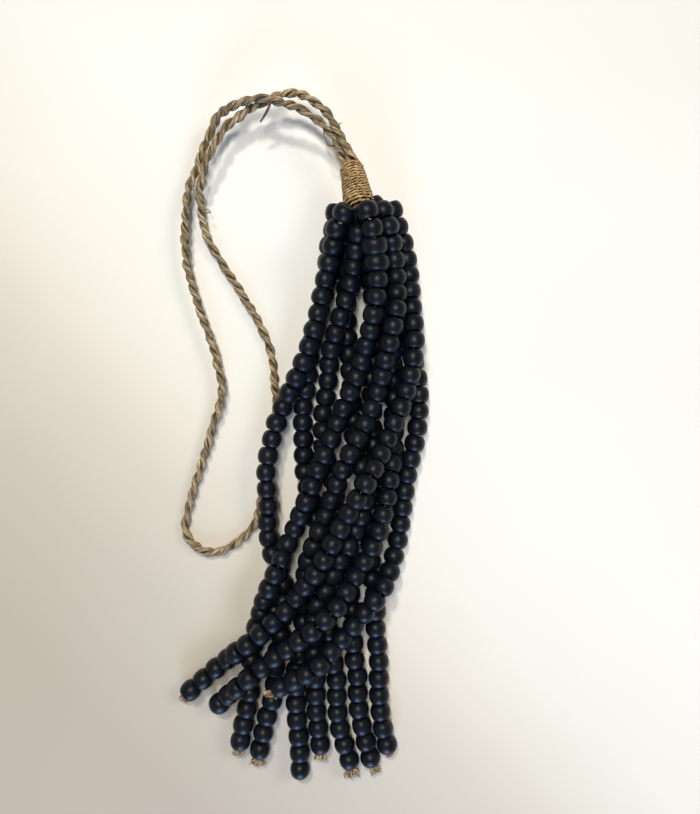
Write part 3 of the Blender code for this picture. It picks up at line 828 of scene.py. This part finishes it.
def make_loop(path, finish):
    """Two plies of grass blades, laid left-handed round each other along a path."""
    rng = np.random.default_rng(CORD_SEED)
    run = np.arange(len(path)) * PLY_STEP
    along = directions(path)
    side = np.cross(along, TOWARDS_Z)
    side /= np.linalg.norm(side, axis=1)[:, None]
    over = np.cross(side, along)
    lag = np.cumsum(smooth_noise(run, LAG_SPACING, rng)) * PLY_STEP * CORD_LAG
    sideways = smooth_noise(run, SIDE_SPACING, rng)[:, None] * side
    upwards = smooth_noise(run, RISE_SPACING, rng)[:, None] * over
    stray = CORD_STRAY * (sideways + upwards)
    builder = Builder()
    for ply in range(2):
        outward = around(2 * math.pi * (run / LOOP_TWIST) + math.pi * ply + lag, side, over)
        radius = PLY_RADIUS * uneven(PLY_FULLNESS, PLY_SWELLS, run, rng)
        offset = PLY_OFFSET * uneven(1, PLY_LOOSENESS, run, rng)
        centre = path + stray + outward * offset[:, None]
        points, laid = tube(centre, radius, PLY_SIDES, outward, PLY_BLADES, BLADE_CREASE, BLADE_TURN)
        laid[:, 1:] += PLY_SHIFT * ply
        shade = uneven(1, PLY_SHADES, run, rng)
        colour = np.column_stack([shade, shade * (1 - PLY_GREEN * ply), shade * PLY_BLUE])
        # Painted shade in the grooves and creases, on top of each ply's random shade.
        depth = ply_painted_shade(points, path, centre, radius)
        tone = np.repeat(colour, PLY_SIDES, axis=0) * depth[:, None]
        builder.add(points, grid_faces(len(path), PLY_SIDES), laid=laid, tone=tone)
    loop = builder.build("loop_cord", finish, ("laid", "tone"))
    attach(loop, "root")
    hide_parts("hanging_loop")
    return loop


def make_whiskers(finish):
    """Loose ends of grass that stick out of the loop's cord."""
    builder = Builder()
    for route in WHISKERS.values():
        path = smooth_curve(route["points"])
        radius = np.linspace(route["thick"], route["thick"] * WHISKER_TAPER, len(path))
        points, laid = tube(path, radius, WHISKER_SIDES)
        builder.add(points, grid_faces(len(path), WHISKER_SIDES), laid=laid, tone=route["tone"])
    whiskers = builder.build("loop_whiskers", finish, ("laid", "tone"))
    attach(whiskers, "root")
    return whiskers


# ---------------------------------------------------------------- head

def whipping_path(rng):
    """Centre line of the twine, and its directions away from the head's middle."""
    bottom, up, length = head_axis()
    side = unit(np.cross(up, TOWARDS_Z))
    over = np.cross(side, up)
    turns = np.arange(-END_TURNS, WHIPPING_TURNS, 1 / TURN_POINTS)
    share = np.maximum(turns, 0) / WHIPPING_TURNS
    inward = np.clip(-turns / END_TURNS, 0, 1) * math.pi / 2
    angle = -2 * math.pi * turns
    closing = END_HOLE + (1 - END_HOLE) * np.cos(inward)
    radius = uneven((head_radius(share) + TWINE_PROUD) * closing, TURN_SWELLS, turns + END_TURNS, rng)
    lean = TURN_TILT * share * np.sin(angle)
    rise = uneven(share * (length - TOP_MARGIN), TURN_WANDER, turns + END_TURNS, rng)
    rise = rise + lean - END_DEPTH * np.sin(inward)
    spoke = around(angle, side, over)
    return bottom + up * rise[:, None] + radius[:, None] * spoke, spoke


def add_core(builder):
    """The plain core under the twine, darkened as painted shade in the gaps between the turns."""
    bottom, up, length = head_axis()
    share = np.linspace(0, 1, CORE_RINGS)
    path = bottom + up * (share * (length - TOP_MARGIN - CORE_MARGIN))[:, None]
    points, laid = tube(path, head_radius(share) - CORE_INSET, CORE_SIDES)
    builder.add(points, grid_faces(CORE_RINGS, CORE_SIDES), laid=laid, tone=CORE_PAINTED_SHADE)


def make_whipping(finish):
    """A two-ply twine wound round the head in rising turns."""
    rng = np.random.default_rng(WHIPPING_SEED)
    path, spoke = whipping_path(rng)
    run = distances(path)
    out, across = frames(path, spoke)
    middle, least = TWINE_PAINTED_GROOVE_SHADE
    builder = Builder()
    for ply in range(2):
        lay = 2 * math.pi * run / TWINE_TWIST + math.pi * ply
        # The falling angle lays the twine left-handed, as the loop's cord is.
        offset = around(-lay, out, across)
        centre = path + TWINE_OFFSET * offset
        points, laid = tube(centre, TWINE_RADIUS, TWINE_SIDES, offset, *TWINE_STRANDS)
        laid[:, 1:] += TWINE_SHIFT * ply
        shade = np.repeat(uneven(1, TWINE_SHADES, run, rng), TWINE_SIDES)
        # Painted shade: the twine darkens towards the head, in the grooves between the turns.
        from_path = points - np.repeat(path, TWINE_SIDES, axis=0)
        height = (from_path * np.repeat(out, TWINE_SIDES, axis=0)).sum(axis=1)
        depth = np.clip(middle + height / (TWINE_OFFSET + TWINE_RADIUS), least, 1)
        tone = np.column_stack([shade * depth] * 3)
        builder.add(points, grid_faces(len(path), TWINE_SIDES), laid=laid, tone=tone)
    add_core(builder)
    whipping = builder.build("whipping_twine", finish, ("laid", "tone"))
    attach(whipping, "root")
    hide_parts("head_binding")


# ---------------------------------------------------------------- beads and strings

def bead_radius(place, width, squareness):
    """Radius of a bead's round side at a place along its bore, measured from the middle."""
    power = ROUND_POWER + SQUARE_POWER * squareness
    return BEAD_RADIUS * width * (1 - (abs(place) / BEAD_REACH) ** power) ** (1 / power)


def bead_profile(width, squareness):
    """A bead's outline from bore to bore. Columns: place along the bore, radius."""
    profile = []
    for turn in np.linspace(-1, 1, BEAD_RINGS):
        place = (BEAD_HALF_LENGTH - BEAD_RIM) * math.sin(turn * math.pi / 2)
        profile.append((place, bead_radius(place, width, squareness)))
    face = [
        (BEAD_HALF_LENGTH, bead_radius(BEAD_HALF_LENGTH, width, squareness) - FACE_INSET),
        (BEAD_HALF_LENGTH + FACE_CROWN, BORE_RADIUS + BORE_CHAMFER),
        (BEAD_HALF_LENGTH - BORE_CHAMFER, BORE_RADIUS),
    ]
    return [(-place, radius) for place, radius in reversed(face)] + profile + face


def add_bead(builder, centre, along, rng, width, squareness):
    """One turned bead with its bore, a little different from its neighbours."""
    profile = np.array(bead_profile(width, squareness))
    place = profile[:, 0, None]
    radius = profile[:, 1, None]
    spin = rng.uniform(0, 2 * math.pi)
    axis = unit(along + rng.normal(0, BEAD_LEAN, 3))
    side = unit(np.cross(axis, BEAD_ASIDE))
    over = np.cross(axis, side)
    angle = 2 * math.pi * np.arange(BEAD_SIDES) / BEAD_SIDES + spin
    oval = 1 + BEAD_OVAL * np.cos(2 * angle + spin * 3)
    size = (radius * oval)[:, :, None]
    points = centre + place[:, :, None] * axis + size * around(angle, side, over)
    bore = np.broadcast_to(place, (len(profile), BEAD_SIDES))
    turned = np.stack([bore, radius * np.cos(angle), radius * np.sin(angle)], axis=2)
    turned = turned.reshape(-1, 3) + rng.uniform(0, GRAIN_SHIFT, 3)
    faces = grid_faces(len(profile), BEAD_SIDES, closed_ends=False)
    last = (len(profile) - 1) * BEAD_SIDES
    for index in range(BEAD_SIDES):
        after = (index + 1) % BEAD_SIDES
        faces.append((last + index, last + after, after, index))
    shade = 1 + rng.uniform(-BEAD_SHADE, BEAD_SHADE)
    tone = (shade, shade, shade * rng.uniform(*BEAD_TINT))
    builder.add(points.reshape(-1, 3), faces, turned=turned, tone=tone)


def make_beads(name, beads, finish, rng):
    """The beads of one string, joined in one piece."""
    builder = Builder()
    along = directions(beads)
    for index, (centre, direction) in enumerate(zip(beads, along)):
        width, squareness = ODD_BEADS.get((name, index), (1.0, 1.0))
        width *= 1 + rng.normal(0, BEAD_SPREAD)
        squareness *= rng.uniform(*SQUARENESS)
        add_bead(builder, centre, direction, rng, width, squareness)
    if name == HIDDEN_BEAD_STRING:
        add_bead(builder, np.array(HIDDEN_BEAD), along[0], rng, 1.0, 1.0)
    row = builder.build("beads_" + name, finish, ("turned", "tone"))
    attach(row, "root")
    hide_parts("bead_strands")


def make_string(name, beads, finish, rng):
    """The string that runs through a row of beads, with its knot and the threads that show."""
    builder = Builder()
    bottom, up, _ = head_axis()
    hub = bottom - up * STRING_ROOT
    heading = directions(beads)[-1]
    tail = beads[-1] + heading * (BEAD_HALF_LENGTH + STRING_TAIL)
    path = walk(smooth_curve([hub, *beads, tail]), STRING_STEP)
    points, laid = tube(path, STRING_RADIUS, STRING_SIDES, None, *STRING_STRANDS)
    # The string's darkened tone is painted shade between the beads.
    builder.add(points, grid_faces(len(path), STRING_SIDES), laid=laid, tone=STRING_PAINTED_SHADE)
    for place in LOOSE_THREADS.get(name, ()):
        add_thread(builder, np.array(place))
    add_knot(builder, tail, heading, *KNOTS[name], rng)
    string = builder.build("string_" + name, finish, ("laid", "tone"))
    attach(string, "root")
    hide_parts("bead_strands")


def add_thread(builder, place):
    """A short arch of string that shows between two beads."""
    path = smooth_curve(place + np.array(THREAD_ARCH))[::THREAD_SKIP]
    points, laid = tube(path, THREAD_RADIUS, THREAD_SIDES)
    builder.add(points, grid_faces(len(path), THREAD_SIDES), laid=laid, tone=THREAD_TONE)


def add_knot(builder, start, along, size, turn, rng):
    """A small knot and its frayed end, resting no lower than the surface."""
    level = unit(np.array([along[0], along[1], 0.0]))
    angle = math.radians(turn)
    heading = np.array([level[0] * math.cos(angle) - level[1] * math.sin(angle),
                        level[0] * math.sin(angle) + level[1] * math.cos(angle), 0.0])
    across = np.cross(heading, TOWARDS_Z)
    fewest, more = KNOT_FIBRES
    for _ in range(int(fewest + more * size)):
        spread = rng.uniform(-1, 1)
        rise = rng.uniform(-1, 1)
        reach = (FIBRE_LENGTH + FIBRE_EXTRA * rng.uniform(*FIBRE_EXTRA_SHARE)) * size
        belly_width = spread * BELLY_SPREAD * size + rng.normal(0, BELLY_SCATTER)
        tip_width = spread * TIP_SPREAD * size + rng.normal(0, TIP_SCATTER) * size
        begin = start + across * spread * ROOT_SPREAD * size + (0, 0, rise * ROOT_SPREAD * size)
        belly = start + heading * reach / 2 + across * belly_width + (0, 0, rise * BELLY_RISE * size)
        tip = start + heading * reach + across * tip_width + (0, 0, rise - TIP_DROP)
        thick = rng.uniform(*FIBRE_THICK)
        path = smooth_curve([begin, belly, tip])[::FIBRE_SKIP]
        path[:, 2] = np.maximum(path[:, 2], thick)
        points, laid = tube(path, np.linspace(thick, thick * FIBRE_TAPER, len(path)), FIBRE_SIDES)
        tone = (rng.uniform(*FIBRE_SHADES),) * 3
        laid = laid + rng.uniform(0, FIBRE_SHIFT)
        builder.add(points, grid_faces(len(path), FIBRE_SIDES), laid=laid, tone=tone)


def make_tassel():
    """Everything that belongs to the tassel, the cord first."""
    grass, twine, thread = [fibre_material(name, *looks) for name, looks in FIBRES.items()]
    path = loop_path()
    loop = make_loop(path, grass)
    whiskers = make_whiskers(grass)
    make_whipping(twine)
    rows = bead_centres()
    paint = bead_material()
    rng = np.random.default_rng(BEAD_SEED)
    for name, beads in zip(STRINGS, rows):
        make_beads(name, beads, paint, rng)
        make_string(name, beads, thread, rng)


make_camera()
make_stage()
make_tassel()
